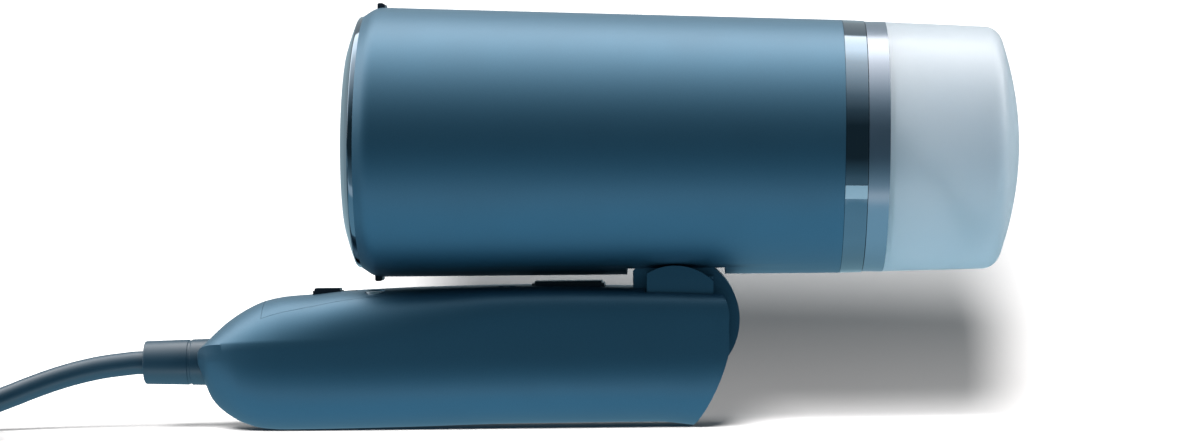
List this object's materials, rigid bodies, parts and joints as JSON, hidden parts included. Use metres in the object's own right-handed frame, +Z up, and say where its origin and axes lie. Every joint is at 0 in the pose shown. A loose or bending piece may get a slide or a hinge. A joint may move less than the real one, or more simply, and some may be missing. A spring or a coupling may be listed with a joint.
{
  "type": "folding garment steamer",
  "caption": "Handheld garment steamer folded flat on its handle, with a tapered round head, a pull-off frosted water tank, a fold hinge, a trigger and a coiled mains cord.",
  "frame": {"origin": "on the surface that it stands on, under the middle of the steamer without its cord", "axes": "+X along the body towards the water tank, +Z up, -Y the side the picture shows"},
  "size_m": [0.3662, 0.1149, 0.1136],
  "materials": {
    "body_satin": "satin metallic teal blue",
    "gloss_blue": "high gloss dark teal",
    "dark_trim": "satin near-black navy",
    "pale_mark": "satin pale blue-grey",
    "tank_frosted": "frosted translucent",
    "tank_smoke": "translucent grey-lavender",
    "white_plastic": "moulded, natural white",
    "inner_plastic": "moulded, dark grey",
    "seal_rubber": "soft silicone",
    "hose_silicone": "clear silicone",
    "cast_metal": "as cast",
    "steel": "zinc-plated",
    "heater_steel": "heat-darkened",
    "copper_winding": "enamelled copper wire",
    "switch_red": "moulded",
    "board": "solder-masked",
    "cord_jacket": "satin teal-blue jacket",
    "plug_moulding": "satin moulded",
    "tie_black": "matt",
    "pin_metal": "nickel-plated"
  },
  "bodies": {
    "handle": {"handle_shell": "body_satin", "handle_cover": "body_satin", "case_screws": "steel", "hinge_barrel": "body_satin", "trigger_springs": "steel", "microswitch": "inner_plastic", "slide_switch": "inner_plastic", "control_board": "board", "terminal_block": "white_plastic", "cord_clamp": "inner_plastic", "clamp_screws": "steel", "strain_relief": "cord_jacket", "cord_tail": "cord_jacket", "power_cord": "cord_jacket", "cord_coil": "cord_jacket", "plug_lead": "cord_jacket", "cord_tie": "tie_black", "plug_body": "plug_moulding", "plug_pins": "pin_metal"},
    "head": {"front_bezel": "gloss_blue", "steam_plate": "cast_metal", "plate_gasket": "seal_rubber", "steam_chamber": "cast_metal", "chamber_cover": "cast_metal", "chamber_screws": "steel", "heating_element": "heater_steel", "thermostat": "steel", "thermal_fuse": "white_plastic", "heat_shield": "cast_metal", "body_shell": "body_satin", "brush_catches": "dark_trim", "chassis": "inner_plastic", "pump_housing": "white_plastic", "pump_coil": "copper_winding", "pump_spring": "steel", "suction_hose": "hose_silicone", "delivery_hose": "hose_silicone", "dock_plate": "inner_plastic", "dock_seal": "seal_rubber", "collar_ring": "gloss_blue", "lock_mark": "pale_mark", "hinge_bracket": "body_satin", "hinge_pin": "steel", "friction_washers": "steel", "pin_clips": "steel"},
    "tank": {"tank_shell": "tank_frosted", "tank_collar": "tank_smoke", "tank_seal": "seal_rubber", "valve_seat": "seal_rubber", "valve_spring": "steel", "fill_plug": "seal_rubber", "pickup_tube": "hose_silicone", "pickup_weight": "steel"},
    "valve": {"valve_plunger": "white_plastic"},
    "piston": {"pump_piston": "steel"},
    "trigger": {"steam_trigger": "dark_trim"},
    "switch_plunger": {"microswitch_plunger": "switch_red"},
    "slider": {"power_slider": "dark_trim"}
  },
  "joints": [
    {"name": "head_fold", "type": "hinge", "parent": "handle", "child": "head", "pos_m": [0.0251, 0, 0.0287], "axis": [0, 1, 0], "range_deg": [0, 104]},
    {"name": "tank_pull", "type": "slide", "parent": "head", "child": "tank", "axis": [0.9998, 0, -0.0211], "range_m": [0, 0.03]},
    {"name": "valve_open", "type": "slide", "parent": "tank", "child": "valve", "axis": [0.9998, 0, -0.0211], "range_m": [0, 0.0014], "stiffness_N_per_m": 300, "springref_m": -0.004},
    {"name": "pump_stroke", "type": "slide", "parent": "head", "child": "piston", "axis": [0.9998, 0, -0.0211], "range_m": [0, 0.0015], "stiffness_N_per_m": 800, "springref_m": -0.003},
    {"name": "trigger_press", "type": "slide", "parent": "handle", "child": "trigger", "axis": [0, 0, -1], "range_m": [0, 0.0012], "stiffness_N_per_m": 900, "springref_m": -0.003, "deforming": ["trigger_springs"]},
    {"name": "switch_press", "type": "slide", "parent": "handle", "child": "switch_plunger", "axis": [0, 0, -1], "range_m": [0, 0.0012]},
    {"name": "power_slide", "type": "slide", "parent": "handle", "child": "slider", "axis": [1, 0, 0], "range_m": [0, 0.004]}
  ],
  "couplings": [
    {"joint": "switch_press", "follows": "trigger_press", "ratio": 1}
  ]
}
